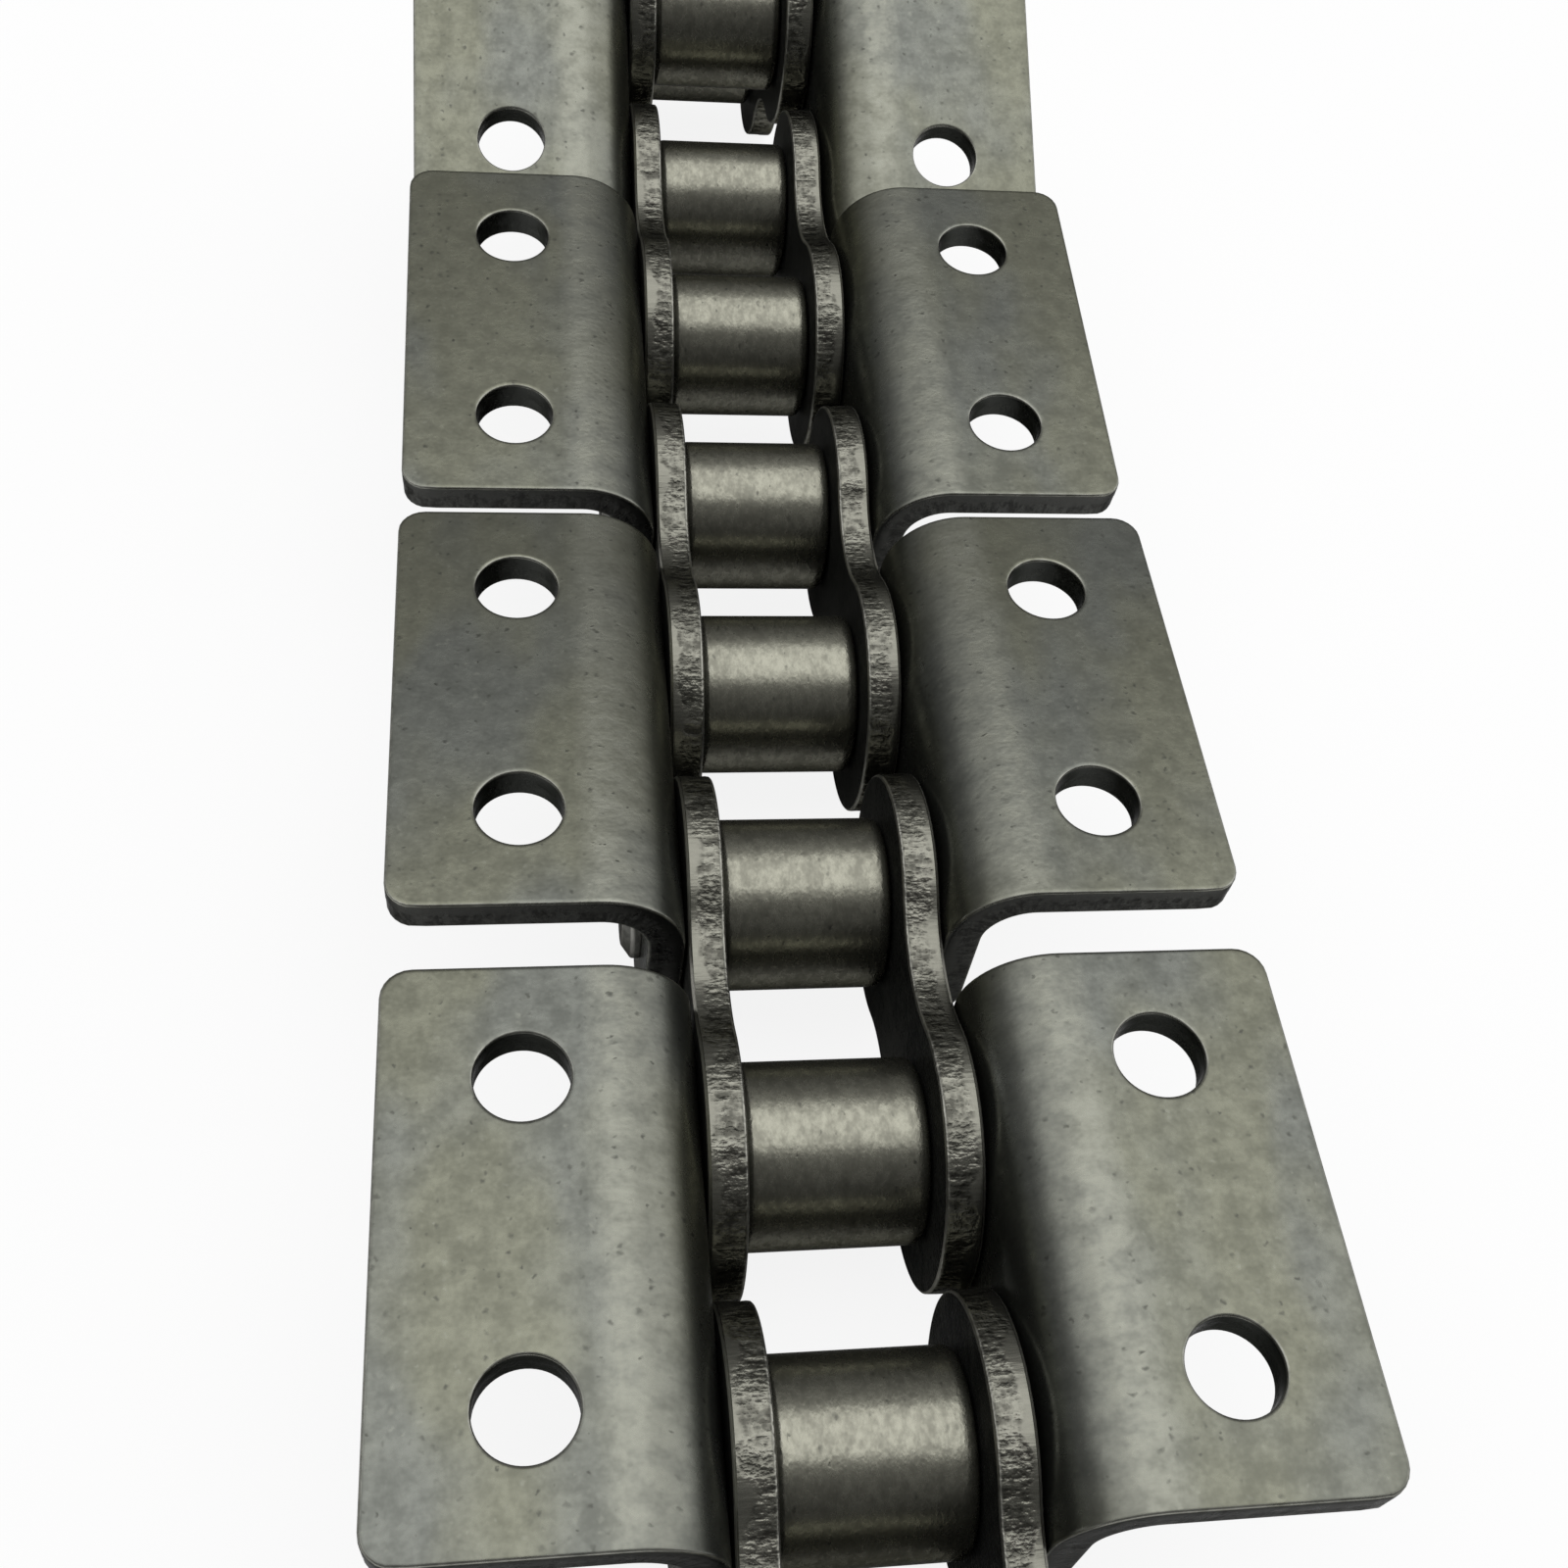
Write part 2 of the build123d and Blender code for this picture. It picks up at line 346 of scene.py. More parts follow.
# ---- Rollers
# Case-hardened steel tubes that turn on the bushes, tumbled after cutting, so that their ends are
# well rounded and their skin is finely grained, and left with a film of dark oil.
roller_low, roller_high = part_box("inner_link_1_near_roller")
ROLLER_RADIUS = (roller_high.z - roller_low.z) / 2
ROLLER_HALF_LENGTH = roller_high.x
ROLLER_PLAY = 0.00008
ROLLER_BORE_RADIUS = BUSH_RADIUS + ROLLER_PLAY
ROLLER_END_ROUNDING = 0.0008
ROLLER_BORE_EDGE = 0.0002
ROLLER_FACETS = 96
ROLLER_DARK = (0.158, 0.156, 0.128, 1)
ROLLER_LIGHT = (0.255, 0.252, 0.207, 1)
ROLLER_PIT = (0.075, 0.075, 0.064, 1)
ROLLER_PIT_SHARE = 0.8
ROLLER_POLISHED = (0.38, 0.37, 0.33, 1)
ROLLER_SKIN_STRETCH = (1.25, 0.75, 0.75)
ROLLER_EDGE_ON = 0.25
ROLLER_ROUGHNESS = (0.31, 0.25)
ROLLER_RELIEF = 0.00004

roller_steel, tree = new_steel("roller_steel", ROLLER_EDGE_ON)
place = piece_place(tree)
skin_place = stretched(tree, place, ROLLER_SKIN_STRETCH)
skin = place_group(tree, oiled_skin, Place=skin_place, Patch=3.5, Mottle=0.8, Grain=0.28, Patchiness=0.3)
bare = place_group(tree, rubbed_rim, Place=place, Rim=painted(tree, "rim"), Wear=0.45)["Bare"]
colour = tinted(tree, skin["Tone"], ROLLER_DARK, ROLLER_LIGHT)
colour = tinted(tree, times(tree, skin["Pit"], ROLLER_PIT_SHARE), colour, ROLLER_PIT)
colour = tinted(tree, bare, colour, ROLLER_POLISHED)
roughness = between(tree, skin["Tone"], *ROLLER_ROUGHNESS)
finish_steel(tree, colour, roughness, skin["Height"], ROLLER_RELIEF)

roller_section = [
    (-ROLLER_HALF_LENGTH, ROLLER_BORE_RADIUS, ROLLER_BORE_EDGE),
    (-ROLLER_HALF_LENGTH, ROLLER_RADIUS, ROLLER_END_ROUNDING),
    (ROLLER_HALF_LENGTH, ROLLER_RADIUS, ROLLER_END_ROUNDING),
    (ROLLER_HALF_LENGTH, ROLLER_BORE_RADIUS, ROLLER_BORE_EDGE),
]
roller = turned(rounded(roller_section, closed=True), closed=True, facets=ROLLER_FACETS)
for link, place in inner_links:
    for end, node in ((near_end, link + "_near_roller"), (far_end, link + "_far_roller")):
        put_in_place(node, roller, place @ end, roller_steel, node)

# ---- Inner plates
# Waisted plates blanked from steel sheet and pressed on the ends of two bushes. The punch leaves a
# rounded rim on the outer side, then a smooth land, and torn metal on the rest of the edge.
plate_low, plate_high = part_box("inner_link_1_right_plate")
PLATE_THICKNESS = plate_high.x - plate_low.x
INNER_PLATE_FACE = plate_low.x
INNER_LOBE_RADIUS = (plate_high.z - plate_low.z) / 2
INNER_WAIST_CUT = 0.0037
EDGE_SPACING = 0.0007
LEAST_ARC_STEPS = 3
TEAR_DEPTH = 0.00005
TEAR_REACH = 0.001
TEARS_PER_M = 1400
PLATE_DARK = (0.070, 0.072, 0.067, 1)
PLATE_LIGHT = (0.120, 0.121, 0.112, 1)
PLATE_TORN = (0.066, 0.065, 0.055, 1)
PLATE_SHEARED = (0.205, 0.203, 0.172, 1)
PLATE_RUBBED = (0.42, 0.415, 0.37, 1)
PLATE_EDGE_ON = 0.2
# On the faces, and on the edge.
PLATE_ROUGHNESS = (0.40, 0.25)
PLATE_SKIN_RELIEF_SHARE = 0.12
PLATE_RELIEF = 0.00028


def arc(middle, radius, start, end, change):
    """Points from one angle to another round a middle, in degrees, without the last.

    The change makes the radius larger or smaller and keeps the number of points.
    """
    steps = max(LEAST_ARC_STEPS, round(abs(math.radians(end - start)) * radius / EDGE_SPACING))
    angles = [math.radians(start + (end - start) * k / steps) for k in range(steps)]
    return [
        (middle[0] + (radius + change) * math.cos(a), middle[1] + (radius + change) * math.sin(a))
        for a in angles
    ]


def waist_arc(lobe_radius, waist):
    """Radius of the hollow that joins two lobes, and the angle at which it leaves each lobe."""
    radius = (half_pitch**2 + waist**2 - lobe_radius**2) / (2 * (lobe_radius - waist))
    return radius, math.degrees(math.atan2(waist + radius, half_pitch))


def inner_outline(inset):
    """The plate's outline in the link's Y and Z, moved inwards. It has as many points for any inset."""
    lobe = INNER_LOBE_RADIUS
    waist = lobe - INNER_WAIST_CUT
    hollow, leave = waist_arc(lobe, waist)
    return [
        *arc((half_pitch, 0), lobe, leave - 180, 180 - leave, -inset),
        *arc((0, waist + hollow), hollow, -leave, leave - 180, inset),
        *arc((-half_pitch, 0), lobe, leave, 360 - leave, -inset),
        *arc((0, -waist - hollow), hollow, 180 - leave, leave, inset),
    ]


def hole_outline(middle, radius, facets):
    """A hole's edge as a function of how far it is moved into the metal round it."""
    angles = [2 * math.pi * k / facets for k in range(facets)]
    return lambda inset: [
        (middle[0] + (radius + inset) * math.cos(a), middle[1] + (radius + inset) * math.sin(a))
        for a in angles
    ]


# The edge from the punch's side to the die's: inset, share of the thickness, rim, sheared, torn.
BLANKED_EDGE = [
    (0.00050, 0.0, 0, 0, 0), (0.00034, 0.0, 0.1, 0, 0), (0.00021, 0.005, 0.6, 0, 0),
    (0.00010, 0.021, 1, 0, 0), (0.00003, 0.048, 0.9, 0.3, 0), (0.0, 0.09, 0.3, 1, 0),
    (0.0, 0.17, 0, 1, 0), (0.0, 0.42, 0, 1, 0), (0.00002, 0.50, 0, 1, 1),
    (0.00003, 0.68, 0, 1, 1), (0.00003, 0.88, 0.1, 1, 1), (0.00008, 0.955, 0.7, 0.6, 0),
    (0.00020, 0.992, 0.8, 0, 0), (0.00034, 1.0, 0.2, 0, 0), (0.00050, 1.0, 0, 0, 0),
]


def torn_away(flat, deeper, depth):
    """Moves an outline unevenly towards a deeper one, as tearing leaves it."""
    moved = []
    for point, deep_point in zip(flat, deeper):
        uneven = 0.5 + noise.noise(Vector((*point, depth)) * TEARS_PER_M)
        moved.append(Vector(point).lerp(Vector(deep_point), uneven * TEAR_DEPTH / TEAR_REACH))
    return moved


def blanked_rings(shape, outline, bore_shade=0.0):
    """Rings of a blanked edge, from the front to the back. Ring points are placed in the flat blank."""
    rim_layer, sheared_layer, bore_shade_layer = (
        shape.verts.layers.float[name] for name in ("rim", "sheared", "bore_shade")
    )
    blank = shape.verts.layers.float_vector["blank"]
    rings = []
    for inset, share, rim, sheared, torn in BLANKED_EDGE:
        depth = share * PLATE_THICKNESS
        flat = outline(inset)
        if torn:
            flat = torn_away(flat, outline(inset + TEAR_REACH), depth)
        ring = []
        for u, v in flat:
            vert = shape.verts.new((u, v, depth))
            vert[blank] = (u, v, depth)
            vert[rim_layer], vert[sheared_layer], vert[bore_shade_layer] = rim, sheared, bore_shade
            ring.append(vert)
        rings.append(ring)
    for ring, other in zip(rings, rings[1:]):
        for k in range(len(ring)):
            after = (k + 1) % len(ring)
            shape.faces.new((ring[k], ring[after], other[after], other[k]))
    return rings


def fill(shape, *loops):
    """Fills the flat between an outline and its holes, each a list of points in order."""
    edges = []
    for loop in loops:
        for vert, after in zip(loop, loop[1:] + loop[:1]):
            edges.append(shape.edges.get((vert, after)) or shape.edges.new((vert, after)))
    bmesh.ops.triangle_fill(shape, edges=edges, use_beauty=True)


def new_blank():
    shape = bmesh.new()
    for name in ("rim", "sheared", "bore_shade"):
        shape.verts.layers.float.new(name)
    shape.verts.layers.float_vector.new("blank")
    return shape


# A sheared edge: a smooth land with faint streaks near the punch, and beyond it grooves and craters
# where the metal tore. Blank is a place in the flat blank whose Z goes through the thickness.
GROOVE_STRETCH = (1.0, 1.0, 0.35)
CRATER_TO_GROOVE = 0.6
GROOVE_SHARE = 0.65
TORN_CONTRAST = (0.38, 0.62)
STREAK_STRETCH = (1.0, 1.0, 0.12)
STREAK_SIZE = 0.35
LAND_TONE = (0.55, 0.95)
LAND_HEIGHT = (0.55, 0.65)
LAND_WAVE_SIZE = 4.0
LAND_WAVE_REACH = 4.0
LAND_FADE = 0.3
LAND_END = (LAND_WAVE_REACH / 2 - LAND_FADE, LAND_WAVE_REACH / 2 + LAND_FADE)

sheared_metal, given, result = new_group(
    "sheared_metal",
    {"Blank": "Vector", "Land": "Float", "Groove": "Float"},
    {"Tone": "Float", "Height": "Float"},
)
tree = sheared_metal
through = add_node(tree, "ShaderNodeSeparateXYZ", {0: given["Blank"]}).outputs["Z"]
grooves = cloud(tree, stretched(tree, given["Blank"], GROOVE_STRETCH), given["Groove"], roughness=0.6)
crater_size = times(tree, given["Groove"], CRATER_TO_GROOVE)
craters = cloud(tree, given["Blank"], crater_size, roughness=0.55)
rough = maths(tree, "ADD", times(tree, grooves, GROOVE_SHARE), times(tree, craters, 1 - GROOVE_SHARE))
wave = times(tree, cloud(tree, given["Blank"], LAND_WAVE_SIZE, detail=3.0, roughness=0.6), LAND_WAVE_REACH)
past_land = maths(tree, "SUBTRACT", maths(tree, "ADD", through, wave), given["Land"])
torn = stepped(tree, past_land, *LAND_END)
streaks = cloud(tree, stretched(tree, given["Blank"], STREAK_STRETCH), STREAK_SIZE)
land_tone = between(tree, streaks, *LAND_TONE)
land_height = between(tree, streaks, *LAND_HEIGHT)
tone = between(tree, torn, land_tone, stepped(tree, rough, *TORN_CONTRAST))
give_out(tree, result, Tone=tone, Height=between(tree, torn, land_height, rough))


def blank_place(tree):
    """A place on the flat blank, in millimetres, which stays with the metal through the bend."""
    return in_mm(tree, add_node(tree, "ShaderNodeAttribute", attribute_name="blank").outputs["Vector"])


plate_steel, tree = new_steel("inner_plate_steel", PLATE_EDGE_ON)
place = blank_place(tree)
on_edge = painted(tree, "sheared")
skin = place_group(tree, oiled_skin, Place=place, Patch=5.0, Mottle=1.2, Grain=0.3, Patchiness=0.4)
shear = place_group(tree, sheared_metal, Blank=place, Land=0.9, Groove=0.75)
bare = place_group(tree, rubbed_rim, Place=place, Rim=painted(tree, "rim"), Wear=1.3)["Bare"]
colour = tinted(tree, skin["Tone"], PLATE_DARK, PLATE_LIGHT)
colour = tinted(tree, on_edge, colour, tinted(tree, shear["Tone"], PLATE_TORN, PLATE_SHEARED))
colour = tinted(tree, bare, colour, PLATE_RUBBED)
height = times(tree, skin["Height"], PLATE_SKIN_RELIEF_SHARE)
height = between(tree, on_edge, height, shear["Height"])
finish_steel(tree, colour, between(tree, on_edge, *PLATE_ROUGHNESS), height, PLATE_RELIEF)

inner_plate = new_blank()
edge_rings = blanked_rings(inner_plate, inner_outline)
hole_rings = [
    blanked_rings(inner_plate, hole_outline((y, 0), BUSH_RADIUS, BUSH_FACETS))
    for y in (-half_pitch, half_pitch)
]
for side in (0, -1):
    fill(inner_plate, edge_rings[side], *(rings[side] for rings in hole_rings))
bmesh.ops.recalc_face_normals(inner_plate, faces=inner_plate.faces)
outer_face = INNER_PLATE_FACE + PLATE_THICKNESS
inner_plate.transform(Matrix(((0, 0, -1, outer_face), (1, 0, 0, 0), (0, 1, 0, 0), (0, 0, 0, 1))))
bmesh.ops.recalc_face_normals(inner_plate, faces=inner_plate.faces)

BLANK_STEP_ALONG = 0.087
BLANK_STEP_ACROSS = 0.061


def moved_blank(shape, steps):
    """A copy whose blank lies elsewhere in the sheet, so that no two pieces show the same marks."""
    copy = shape.copy()
    blank = copy.verts.layers.float_vector["blank"]
    for vert in copy.verts:
        vert[blank] = vert[blank] + Vector((BLANK_STEP_ALONG * steps, BLANK_STEP_ACROSS * steps, 0))
    return copy


mirrored = Matrix.Scale(-1, 4, (1, 0, 0))
for number, (link, place) in enumerate(inner_links):
    for side, flip in (("right", Matrix()), ("left", mirrored)):
        shape = moved_blank(inner_plate, 2 * number + (side == "left"))
        put_in_place(f"{link}_{side}_plate", shape, place @ flip, plate_steel, link)

# ---- Pins
# Hardened steel pins pressed through both attachments of an outer link. Their ends are riveted
# over outside, which spreads them into low heads with a dished middle.
pin_low, pin_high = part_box("outer_link_1_near_pin")
attachment_low, attachment_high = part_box("outer_link_1_right_attachment")
PIN_TIP = pin_high.x
PIN_HEAD_RADIUS = (pin_high.z - pin_low.z) / 2
PIN_RADIUS = 0.00397
OUTER_PLATE_FACE = attachment_low.x
OUTER_PLATE_BACK = OUTER_PLATE_FACE + PLATE_THICKNESS
RIVET_DISH_DEPTH = 0.0003
RIVET_DISH = [(1.0, 0.0), (0.8, 0.0016), (0.3, 0.0027)]
RIVET_RING_RADIUS = 0.0034
RIVET_TAPER = 0.0009
RIVET_ROUNDING = 0.0004
RIVET_FOOT_ROUNDING = 0.0001
PIN_FACETS = 64
PIN_DARK = (0.13, 0.13, 0.12, 1)
PIN_LIGHT = (0.23, 0.228, 0.21, 1)
PIN_RUBBED = (0.36, 0.355, 0.33, 1)
PIN_EDGE_ON = 0.3
PIN_ROUGHNESS = (0.44, 0.34)
PIN_RELIEF = 0.00004

pin_steel, tree = new_steel("pin_steel", PIN_EDGE_ON)
place = piece_place(tree)
skin = place_group(tree, oiled_skin, Place=place, Patch=3.0, Mottle=0.9, Grain=0.25, Patchiness=0.3)
bare = place_group(tree, rubbed_rim, Place=place, Rim=painted(tree, "rim"), Wear=0.8)["Bare"]
colour = tinted(tree, skin["Tone"], PIN_DARK, PIN_LIGHT)
colour = tinted(tree, bare, colour, PIN_RUBBED)
roughness = between(tree, skin["Tone"], *PIN_ROUGHNESS)
finish_steel(tree, colour, roughness, skin["Height"], PIN_RELIEF)

# The dish is given by shares of its depth, with their radii.
pin_half = [(PIN_TIP - RIVET_DISH_DEPTH * share, radius, 0) for share, radius in RIVET_DISH]
pin_half += [
    (PIN_TIP, RIVET_RING_RADIUS, RIVET_ROUNDING),
    (PIN_TIP - RIVET_TAPER, PIN_HEAD_RADIUS, RIVET_ROUNDING),
    (OUTER_PLATE_BACK, PIN_HEAD_RADIUS, RIVET_FOOT_ROUNDING),
    (OUTER_PLATE_BACK, PIN_RADIUS, 0),
]
pin_section = pin_half + [(-x, radius, rounding) for x, radius, rounding in reversed(pin_half)]
pin = turned(rounded(pin_section, closed=False), closed=False, facets=PIN_FACETS)
for link, place in outer_links:
    put_in_place(link + "_near_pin", pin, place @ near_end, pin_steel, link)
    put_in_place(link + "_far_pin", pin, place @ far_end, pin_steel, link)

# ---- Attachments
# The outer plates of the chain, blanked with a wide wing and two bolt holes from dark hot-rolled
# sheet, bent out level on a press brake, and pressed on the ends of two pins.
bolts = mounts["attachment_bolts_1"]["dims"]
ATTACHMENT_HALF_LENGTH = (attachment_high.y - attachment_low.y) / 2
FLANGE_TIP = attachment_high.x
PLATFORM_HEIGHT = attachment_high.z - pivots[1].z
OUTER_LOBE_RADIUS = pivots[1].z - attachment_low.z
OUTER_WAIST_CUT = 0.0029
BEND_INNER_RADIUS = 0.00425
BEND_OUTER_RADIUS = BEND_INNER_RADIUS + PLATE_THICKNESS
BEND_START = PLATFORM_HEIGHT - BEND_OUTER_RADIUS
BEND_CENTRE = OUTER_PLATE_FACE + BEND_OUTER_RADIUS
BEND_LENGTH = (BEND_INNER_RADIUS + BEND_OUTER_RADIUS) / 2 * math.pi / 2
FLANGE_CORNER_RADIUS = 0.0025
BLANK_END = BEND_LENGTH + FLANGE_TIP - BEND_CENTRE
BOLT_HOLE_RADIUS = bolts["hole_r_mm"] / MM_PER_M
BOLT_HOLE_PLACE = BEND_LENGTH + bolts["spacing_x_mm"] / 2 / MM_PER_M - BEND_CENTRE
ATTACHMENT_HOLE_FACETS = 64
SIDE_STEPS_BELOW_BEND = 10
SIDE_STEPS_ON_BEND = 16
SIDE_STEPS_ON_WING = 16
TIP_STEPS = 60
JUST_BEFORE_BEND = 0.0004
JUST_AFTER_BEND = (0.0, 0.0004, 0.0011, 0.0019)
SAME_PLACE = 1e-7
# Where the bend is lightened, partly rubbed by the brake and partly a painted highlight where it catches
# the light.
PRESSED_AND_HIGHLIGHT_FROM = 0.45
PRESSED_AND_HIGHLIGHT_EASE = 0.35
PRESSED_AND_HIGHLIGHT_FADE = JUST_AFTER_BEND[-1]
SHEET_DARKEST = 0.68
SHEET_OLIVE = (0.170, 0.172, 0.134, 1)
SHEET_GREY = (0.152, 0.158, 0.142, 1)
# A lighter colour for the bend: partly brake rubbing, partly painted highlight.
SHEET_PRESSED_AND_HIGHLIGHT = (0.210, 0.213, 0.180, 1)
SHEET_LEAST_PRESSED_AND_HIGHLIGHT = 0.35
SHEET_PIT = (0.055, 0.056, 0.049, 1)
SHEET_PIT_SHARE = 0.8
SHEET_CHIP = (0.23, 0.235, 0.20, 1)
SHEET_CHIP_SHARE = 0.35
# The sheet's cut edges are painted dark as shade; their torn and sheared marks show in that dark.
SHEET_TORN_IN_PAINTED_SHADE = (0.045, 0.045, 0.043, 1)
SHEET_SHEARED_IN_PAINTED_SHADE = (0.085, 0.086, 0.081, 1)
SHEET_RUBBED = (0.33, 0.33, 0.295, 1)
# Painted shade that darkens the walls of the bolt holes.
BORE_PAINTED_SHADE = (0.048, 0.050, 0.046, 1)
SHEET_EDGE_ON = 0.35
SHEET_ROUGHNESS = (0.31, 0.26)
# On the flats, and on the bend.
SHEET_SKIN_RELIEF_SHARE = (0.2, 0.35)
SHEET_RELIEF = 0.00010
FIRST_ATTACHMENT_BLANK = 30


def scaled(tree, colour, share):
    sockets = {0: colour, "Scale": share}
    return add_node(tree, "ShaderNodeVectorMath", sockets, operation="SCALE").outputs[0]


attachment_steel, tree = new_steel("attachment_steel", SHEET_EDGE_ON)
place = blank_place(tree)
on_edge = painted(tree, "sheared")
pressed_and_highlight = painted(tree, "pressed_and_highlight")
skin = place_group(tree, oiled_skin, Place=place, Patch=8.0, Mottle=1.9, Grain=0.45, Patchiness=0.3)
shear = place_group(tree, sheared_metal, Blank=place, Land=1.2, Groove=0.6)
bare = place_group(tree, rubbed_rim, Place=place, Rim=painted(tree, "rim"), Wear=0.85)["Bare"]
colour = tinted(tree, skin["Warmth"], SHEET_GREY, SHEET_OLIVE)
colour = scaled(tree, colour, between(tree, skin["Tone"], SHEET_DARKEST, 1.0))
# The bend is lightened, partly where the brake rubbed it and partly as a painted highlight.
pressed_and_highlight_share = times(tree, pressed_and_highlight, between(tree, skin["Tone"], SHEET_LEAST_PRESSED_AND_HIGHLIGHT, 1.0))
colour = tinted(tree, pressed_and_highlight_share, colour, SHEET_PRESSED_AND_HIGHLIGHT)
colour = tinted(tree, times(tree, skin["Chip"], SHEET_CHIP_SHARE), colour, SHEET_CHIP)
colour = tinted(tree, times(tree, skin["Pit"], SHEET_PIT_SHARE), colour, SHEET_PIT)
# The cut edges get painted shade: a dark colour that keeps the torn and sheared marks.
colour = tinted(tree, on_edge, colour, tinted(tree, shear["Tone"], SHEET_TORN_IN_PAINTED_SHADE, SHEET_SHEARED_IN_PAINTED_SHADE))
# The bolt holes' walls are darkened with painted shade.
colour = tinted(tree, times(tree, painted(tree, "bore_shade"), on_edge), colour, BORE_PAINTED_SHADE)
colour = tinted(tree, bare, colour, SHEET_RUBBED)
height = times(tree, skin["Height"], between(tree, pressed_and_highlight, *SHEET_SKIN_RELIEF_SHARE))
height = between(tree, on_edge, height, shear["Height"])
finish_steel(tree, colour, between(tree, skin["Tone"], *SHEET_ROUGHNESS), height, SHEET_RELIEF)


def spaced(first, last, count):
    """Evenly spaced distances from the first to the last, without the last."""
    return [first + (last - first) * k / count for k in range(count)]


# Distances along the blank at which its straight sides have points. 0 is where the bend starts.
bend_stations = [-JUST_BEFORE_BEND, *spaced(0.0, BEND_LENGTH, SIDE_STEPS_ON_BEND)]
bend_stations += [BEND_LENGTH + beyond for beyond in JUST_AFTER_BEND]
side_stations = spaced(-BEND_START, bend_stations[0], SIDE_STEPS_BELOW_BEND) + bend_stations
side_stations += spaced(bend_stations[-1], BLANK_END - FLANGE_CORNER_RADIUS, SIDE_STEPS_ON_WING)[1:]


def attachment_outline(inset):
    """The blank's outline as (along, across): along is 0 where the bend starts, across is the link's Y."""
    lobe = OUTER_LOBE_RADIUS
    waist = lobe - OUTER_WAIST_CUT
    hollow, leave = waist_arc(lobe, waist)
    corner = FLANGE_CORNER_RADIUS
    corner_along = BLANK_END - corner
    corner_across = ATTACHMENT_HALF_LENGTH - corner
    side = ATTACHMENT_HALF_LENGTH - inset
    lobes = [
        *arc((-half_pitch, -BEND_START), lobe, 180, 360 - leave, -inset),
        *arc((0, -BEND_START - waist - hollow), hollow, 180 - leave, leave, inset),
        *arc((half_pitch, -BEND_START), lobe, leave - 180, 0, -inset),
    ]
    right_side = [(side, along) for along in side_stations]
    right_corner = arc((corner_across, corner_along), corner, 0, 90, -inset)
    tip = [(corner_across * (1 - 2 * k / TIP_STEPS), BLANK_END - inset) for k in range(TIP_STEPS)]
    left_corner = arc((-corner_across, corner_along), corner, 90, 180, -inset)
    left_side = [(-side, along) for along in reversed(side_stations[1:])]
    runs = lobes + right_side + right_corner + tip + left_corner + left_side
    return [(along, across) for across, along in runs]


def bent(along, across, depth):
    """Where a point of the flat blank comes to lie once the wing is bent out."""
    radius = BEND_OUTER_RADIUS - depth
    if along <= 0:
        return OUTER_PLATE_FACE + depth, across, BEND_START + along
    if along < BEND_LENGTH:
        angle = math.pi / 2 * along / BEND_LENGTH
        return BEND_CENTRE - radius * math.cos(angle), across, BEND_START + radius * math.sin(angle)
    return BEND_CENTRE + along - BEND_LENGTH, across, BEND_START + radius


def pressed_and_highlight_on_bend(along):
    """How much the bend is lightened, partly where the brake's tool rubbed the sheet and partly as a
    painted highlight: most on the bend, and fading out on the wing.
    """
    rise = min(max((along / BEND_LENGTH - PRESSED_AND_HIGHLIGHT_FROM) / PRESSED_AND_HIGHLIGHT_EASE, 0), 1)
    fall = min(max(1 - (along - BEND_LENGTH) / PRESSED_AND_HIGHLIGHT_FADE, 0), 1)
    return rise * fall


def rows_across(ring, stations):
    """The two points of a ring at each station, one on each side of the blank."""
    rows = []
    for station in stations:
        level = [vert for vert in ring if abs(vert.co.x - station) < SAME_PLACE]
        rows.append((max(level, key=lambda vert: vert.co.y), min(level, key=lambda vert: vert.co.y)))
    return rows


def hole_pair(shape, along, radius, bore_shade=0.0):
    """The rings of two holes of a blank, one pitch apart."""
    return [
        blanked_rings(shape, hole_outline((along, across), radius, ATTACHMENT_HOLE_FACETS), bore_shade)
        for across in (-half_pitch, half_pitch)
    ]


attachment = new_blank()
edge_rings = blanked_rings(attachment, attachment_outline)
pin_holes = hole_pair(attachment, -BEND_START, PIN_RADIUS)
# The bolt holes' walls are marked for painted shade.
bolt_holes = hole_pair(attachment, BOLT_HOLE_PLACE, BOLT_HOLE_RADIUS, bore_shade=1.0)
for side in (0, -1):
    ring = edge_rings[side]
    rows = rows_across(ring, bend_stations)
    for (right, left), (next_right, next_left) in zip(rows, rows[1:]):
        attachment.faces.new((right, next_right, next_left, left))
    first, last = ring.index(rows[-1][0]), ring.index(rows[-1][1])
    fill(attachment, ring[first:last + 1], *(rings[side] for rings in bolt_holes))
    first, last = ring.index(rows[0][0]), ring.index(rows[0][1])
    fill(attachment, ring[last:] + ring[:first + 1], *(rings[side] for rings in pin_holes))
bmesh.ops.recalc_face_normals(attachment, faces=attachment.faces)
pressed_and_highlight_layer = attachment.verts.layers.float.new("pressed_and_highlight")
for vert in attachment.verts:
    vert[pressed_and_highlight_layer] = pressed_and_highlight_on_bend(vert.co.x)
    vert.co = bent(*vert.co)
bmesh.ops.recalc_face_normals(attachment, faces=attachment.faces)

for number, (link, place) in enumerate(outer_links):
    for side, flip in (("right", Matrix()), ("left", mirrored)):
        shape = moved_blank(attachment, FIRST_ATTACHMENT_BLANK + 2 * number + (side == "left"))
        put_in_place(f"{link}_{side}_attachment", shape, place @ flip, attachment_steel, link)

# ---- Floor
# A plain pale painted board, wide and level, on which the chain lies. The camera sees it nearly
# white, with the chain's shadow on it, and the metal mirrors only a little of that white.
FLOOR_REACH = 4.0
FLOOR_COLOUR = (0.93, 0.93, 0.93, 1)
FLOOR_ROUGHNESS = 0.9
WHITE_IN_VIEW = 0.88
WHITE_IN_METAL = 0.07
WHITE = (1, 1, 1, 1)


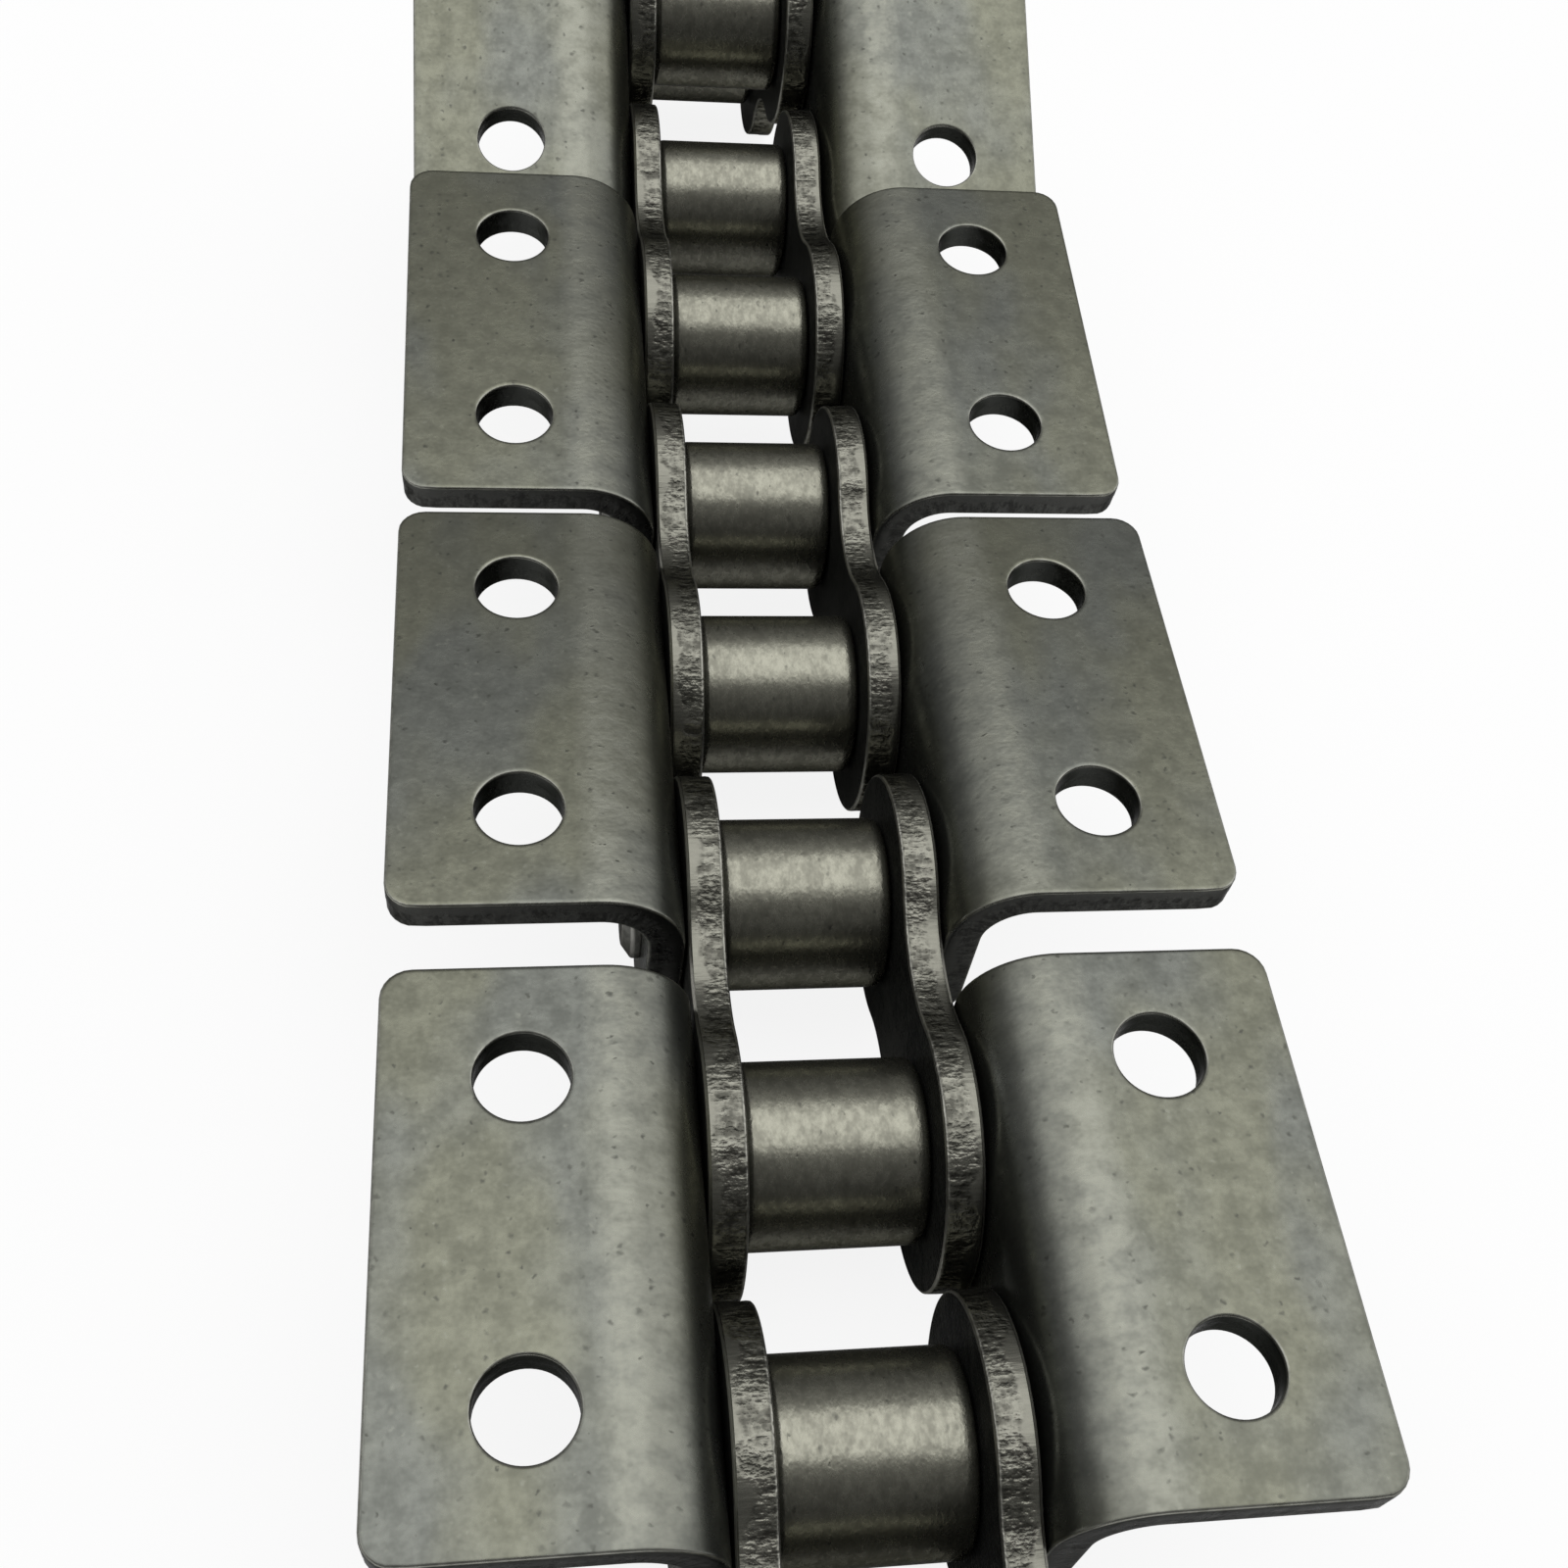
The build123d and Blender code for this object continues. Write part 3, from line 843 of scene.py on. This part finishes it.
def seen_white(tree, in_view, in_metal):
    """The share of white that the camera sees, or that metal and glass mirror or let through."""
    seen = add_node(tree, "ShaderNodeLightPath").outputs
    mirrored = maths(tree, "MAXIMUM", seen["Is Glossy Ray"], seen["Is Transmission Ray"])
    in_view = times(tree, seen["Is Camera Ray"], in_view)
    return maths(tree, "MAXIMUM", in_view, times(tree, mirrored, in_metal))


floor_mesh = bpy.data.meshes.new("floor")
corners = [(x * FLOOR_REACH, y * FLOOR_REACH, 0) for x, y in ((-1, -1), (1, -1), (1, 1), (-1, 1))]
floor_mesh.from_pydata(corners, [], [(0, 1, 2, 3)])
floor = bpy.data.objects.new("floor", floor_mesh)
bpy.context.scene.collection.objects.link(floor)
floor_paint = bpy.data.materials.new("floor_paint")
floor_paint.use_nodes = True
tree = floor_paint.node_tree
paint = tree.nodes["Principled BSDF"]
paint.inputs["Base Color"].default_value = FLOOR_COLOUR
paint.inputs["Roughness"].default_value = FLOOR_ROUGHNESS
paint.inputs["Specular IOR Level"].default_value = 0.0
white = add_node(tree, "ShaderNodeEmission", {"Color": WHITE, "Strength": 1.0}).outputs[0]
shaders = {0: seen_white(tree, WHITE_IN_VIEW, WHITE_IN_METAL), 1: paint.outputs[0], 2: white}
mixed = add_node(tree, "ShaderNodeMixShader", shaders)
tree.links.new(mixed.outputs[0], tree.nodes["Material Output"].inputs["Surface"])
floor_mesh.materials.append(floor_paint)

# ---- Light
# A long cloth softbox hung across and over the chain and tilted to its right, with a soft lamp at
# its middle, in a dim grey room that is darker near the floor.
SOFTBOX_BRIGHTNESS = 1.58
# Its sides fade between two angles towards the chain's far end, in degrees, and its ends between
# two heights of a direction.
SOFTBOX_NEAR_EDGE = (-25, -10)
SOFTBOX_FAR_EDGE = (30, 40)
SOFTBOX_END_RISE = (0.1, 0.65)
SOFTBOX_TILT = 0.25
# The room's brightness by height, and the share of it on each wall. The near wall turns into the
# far one between two lengths of a direction along the chain.
ROOM_BRIGHTNESS = {0.0: 0.10, 0.35: 0.11, 0.62: 0.24, 0.8: 0.36, 1.0: 0.36}
NEAR_WALL = 0.6
FAR_WALL = 1.4
SIDE_WALLS = 1.2
WALL_TURN = (-0.3, 0.6)
WHITE_ROOM_IN_METAL = 0.03
LAMP_SPREAD = math.radians(52)
LAMP_STRENGTH = 0.36
LAMP_TILT = (math.radians(-8), math.radians(6), 0)

room = bpy.data.worlds.new("room")
bpy.context.scene.world = room
room.use_nodes = True
tree = room.node_tree
direction = add_node(tree, "ShaderNodeTexCoord").outputs["Generated"]
sides = add_node(tree, "ShaderNodeSeparateXYZ", {0: direction}).outputs
lean = times(tree, maths(tree, "ARCSINE", sides["Y"]), 180 / math.pi)
past_far_edge = stepped(tree, lean, *SOFTBOX_FAR_EDGE)
softbox = times(tree, stepped(tree, lean, *SOFTBOX_NEAR_EDGE), maths(tree, "SUBTRACT", 1.0, past_far_edge))
tilted_rise = maths(tree, "ADD", sides["Z"], times(tree, sides["X"], SOFTBOX_TILT))
softbox = times(tree, softbox, stepped(tree, tilted_rise, *SOFTBOX_END_RISE))
rising = add_node(tree, "ShaderNodeValToRGB", {0: sides["Z"]})
stops = rising.color_ramp.elements
while len(stops) < len(ROOM_BRIGHTNESS):
    stops.new(0.5)
for stop, (height, brightness) in zip(stops, sorted(ROOM_BRIGHTNESS.items())):
    stop.position, stop.color = height, (brightness, brightness, brightness, 1)
end_walls = between(tree, stepped(tree, sides["Y"], *WALL_TURN), NEAR_WALL, FAR_WALL)
side_walls = times(tree, times(tree, sides["X"], sides["X"]), SIDE_WALLS)
walls = scaled(tree, rising.outputs["Color"], maths(tree, "ADD", end_walls, side_walls))
cloth = (SOFTBOX_BRIGHTNESS, SOFTBOX_BRIGHTNESS, SOFTBOX_BRIGHTNESS, 1)
lit = tinted(tree, softbox, walls, cloth)
lit = tinted(tree, seen_white(tree, 1.0, WHITE_ROOM_IN_METAL), lit, WHITE)
tree.links.new(lit, tree.nodes["Background"].inputs["Color"])

lamp = bpy.data.lights.new("overhead_lamp", "SUN")
lamp.angle = LAMP_SPREAD
lamp.energy = LAMP_STRENGTH
lamp_object = bpy.data.objects.new("overhead_lamp", lamp)
lamp_object.rotation_euler = LAMP_TILT
bpy.context.scene.collection.objects.link(lamp_object)

# ---- Camera
# Held above the near end of the chain, to the left of its middle, and turned slightly to the right.
# Its place is given in pitches from the third hinge.
THIRD_HINGE = pivots[3]
CAMERA_FROM_HINGE = Vector((-0.9978, -3.6322, 5.6003)) * 2 * half_pitch
CAMERA_YAW = math.radians(13.592)
CAMERA_PITCH = math.radians(-52.461)
CAMERA_ROLL = math.radians(10.187)
CAMERA_LENS = 41.988
CAMERA_SENSOR_WIDTH = 36
CAMERA_NEAREST = 0.01

camera = bpy.data.cameras.new("camera")
camera.sensor_width = CAMERA_SENSOR_WIDTH
camera.lens = CAMERA_LENS
camera.clip_start = CAMERA_NEAREST
camera_object = bpy.data.objects.new("camera", camera)
bpy.context.scene.collection.objects.link(camera_object)
level = math.cos(CAMERA_PITCH)
forward = Vector((math.sin(CAMERA_YAW) * level, math.cos(CAMERA_YAW) * level, math.sin(CAMERA_PITCH)))
level_right = Vector((math.cos(CAMERA_YAW), -math.sin(CAMERA_YAW), 0))
level_up = level_right.cross(forward)
right = math.cos(CAMERA_ROLL) * level_right + math.sin(CAMERA_ROLL) * level_up
upward = -math.sin(CAMERA_ROLL) * level_right + math.cos(CAMERA_ROLL) * level_up
turned_camera = Matrix((right, upward, -forward)).transposed()
camera_object.matrix_world = Matrix.Translation(THIRD_HINGE + CAMERA_FROM_HINGE) @ turned_camera.to_4x4()
bpy.context.scene.camera = camera_object
bpy.context.scene.view_settings.view_transform = "Standard"
